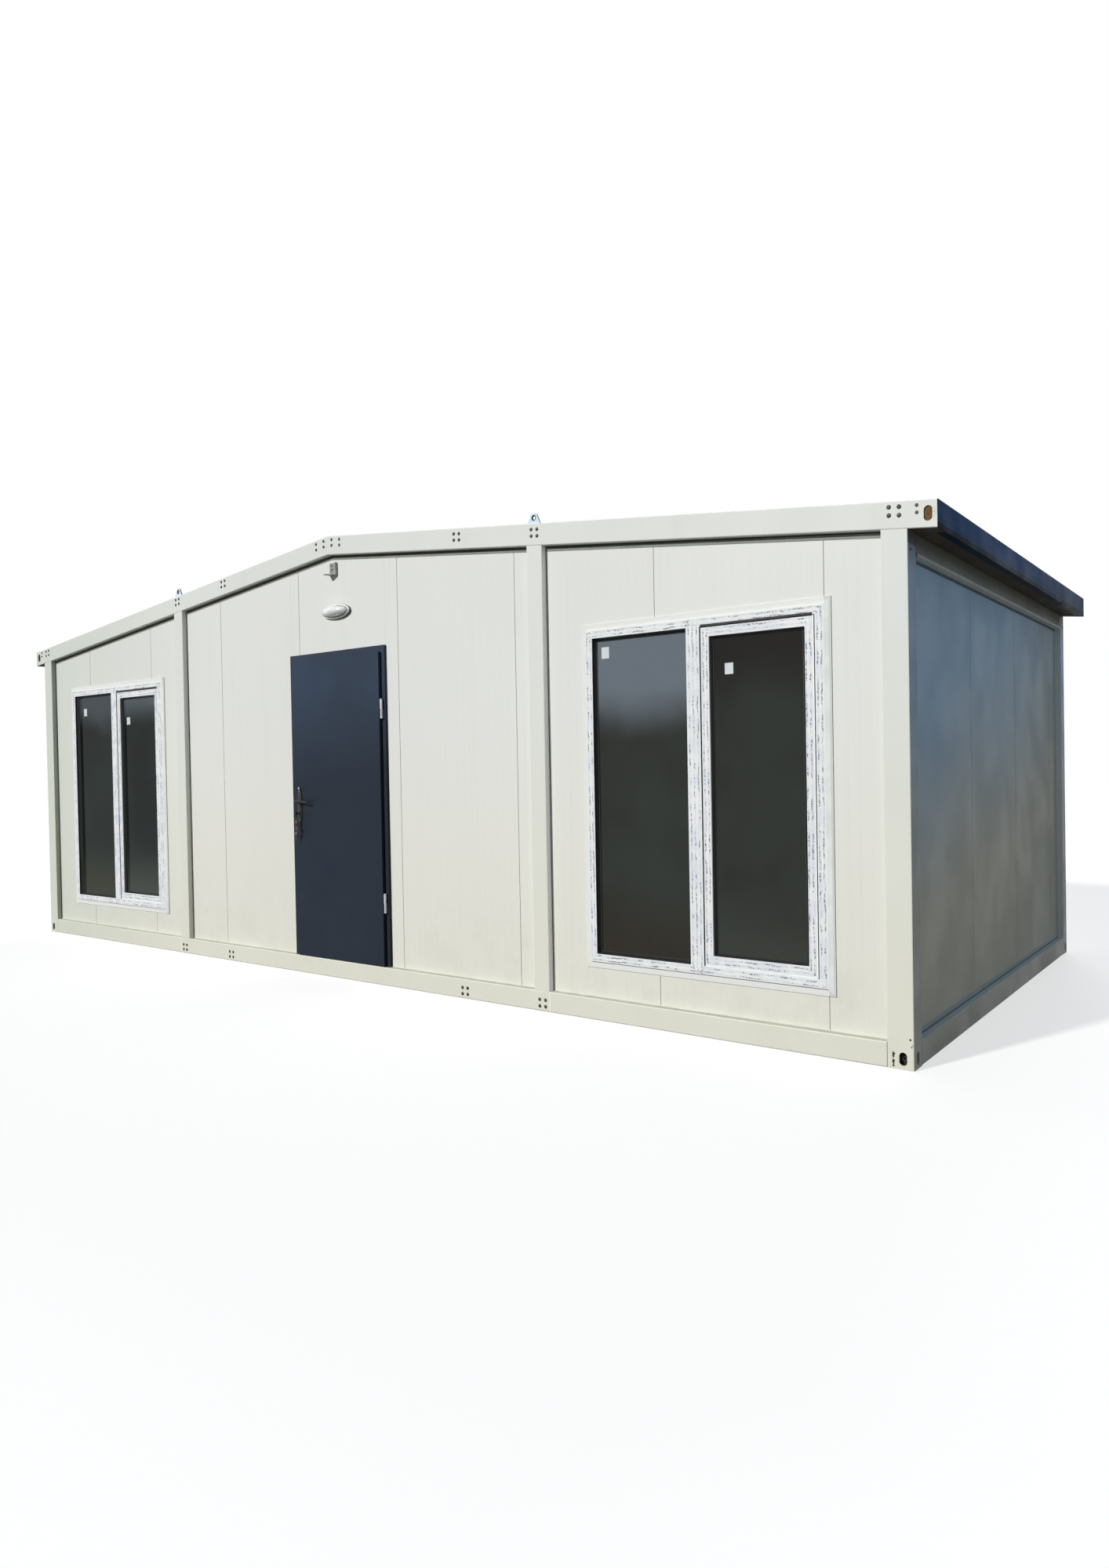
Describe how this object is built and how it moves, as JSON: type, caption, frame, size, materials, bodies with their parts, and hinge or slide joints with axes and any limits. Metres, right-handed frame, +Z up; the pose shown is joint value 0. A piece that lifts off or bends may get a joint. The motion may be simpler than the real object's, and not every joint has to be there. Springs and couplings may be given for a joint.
{
  "type": "expandable container house",
  "caption": "Low gabled white panel cabin on a steel frame, folding-wing container type, with tall windows and a dark hinged door.",
  "frame": {"origin": "on the ground, in the middle of the steel frame's plan", "axes": "+X right along the front, +Y from the front to the back, +Z up"},
  "size_m": [8.068, 3.3685, 2.9471],
  "materials": {
    "frame_paint": "satin",
    "panel_paint": "satin",
    "fascia_paint": "satin",
    "roof_paint": "satin",
    "bearer_paint": "matt",
    "deck_board": "matt",
    "window_plastic": "satin",
    "window_glass": "clear",
    "door_paint": "satin",
    "hinge_zinc": "satin",
    "bronze": "antique",
    "lamp_rim": "gloss",
    "lamp_dome": "frosted",
    "bracket_zinc": "satin",
    "lug_paint": "satin"
  },
  "bodies": {
    "house": {"base_beam_front": "frame_paint", "base_beam_back": "frame_paint", "base_beam_right": "frame_paint", "base_beam_left": "frame_paint", "corner_castings": "frame_paint", "centre_posts_front": "frame_paint", "centre_posts_back": "frame_paint", "eave_beam_right": "frame_paint", "eave_beam_left": "frame_paint", "corner_post_front_right": "frame_paint", "gable_beam_front_right": "frame_paint", "corner_post_front_left": "frame_paint", "gable_beam_front_left": "frame_paint", "corner_post_back_right": "frame_paint", "gable_beam_back_right": "frame_paint", "corner_post_back_left": "frame_paint", "gable_beam_back_left": "frame_paint", "lifting_lugs": "lug_paint", "roof_panel_right": "roof_paint", "roof_panel_left": "roof_paint", "ridge_cap": "roof_paint", "eave_fascia_right": "fascia_paint", "eave_fascia_left": "fascia_paint", "front_wall_right": "panel_paint", "front_wall_left": "panel_paint", "front_wall_beside_lock": "panel_paint", "front_wall_beside_hinge": "panel_paint", "front_wall_over_door": "panel_paint", "back_wall_right": "panel_paint", "back_wall_left": "panel_paint", "back_wall_centre": "panel_paint", "side_wall_right": "panel_paint", "side_wall_left": "panel_paint", "floor_deck": "deck_board", "floor_bearers": "bearer_paint", "window_frame_right": "window_plastic", "window_sash_right": "window_plastic", "window_glass_right": "window_glass", "window_frame_left": "window_plastic", "window_sash_left": "window_plastic", "window_glass_left": "window_glass", "door_frame": "door_paint", "hinges_on_frame": "hinge_zinc", "lamp_base": "lamp_rim", "lamp_glass": "lamp_dome", "wall_bracket": "bracket_zinc"},
    "door": {"door_leaf": "door_paint", "hinges_on_leaf": "hinge_zinc", "lever_plates": "bronze", "lock_cylinder": "bronze"},
    "lever": {"door_lever": "bronze"}
  },
  "joints": [
    {"name": "door_swing", "type": "hinge", "parent": "house", "child": "door", "pos_m": [0.484, -1.651, 1.15], "axis": [0, 0, 1], "range_deg": [0, 160]},
    {"name": "lever_turn", "type": "hinge", "parent": "door", "child": "lever", "pos_m": [-0.344, -1.66, 1.178], "axis": [0, 1, 0], "range_deg": [0, 40], "stiffness_Nm_per_rad": 1.5}
  ]
}
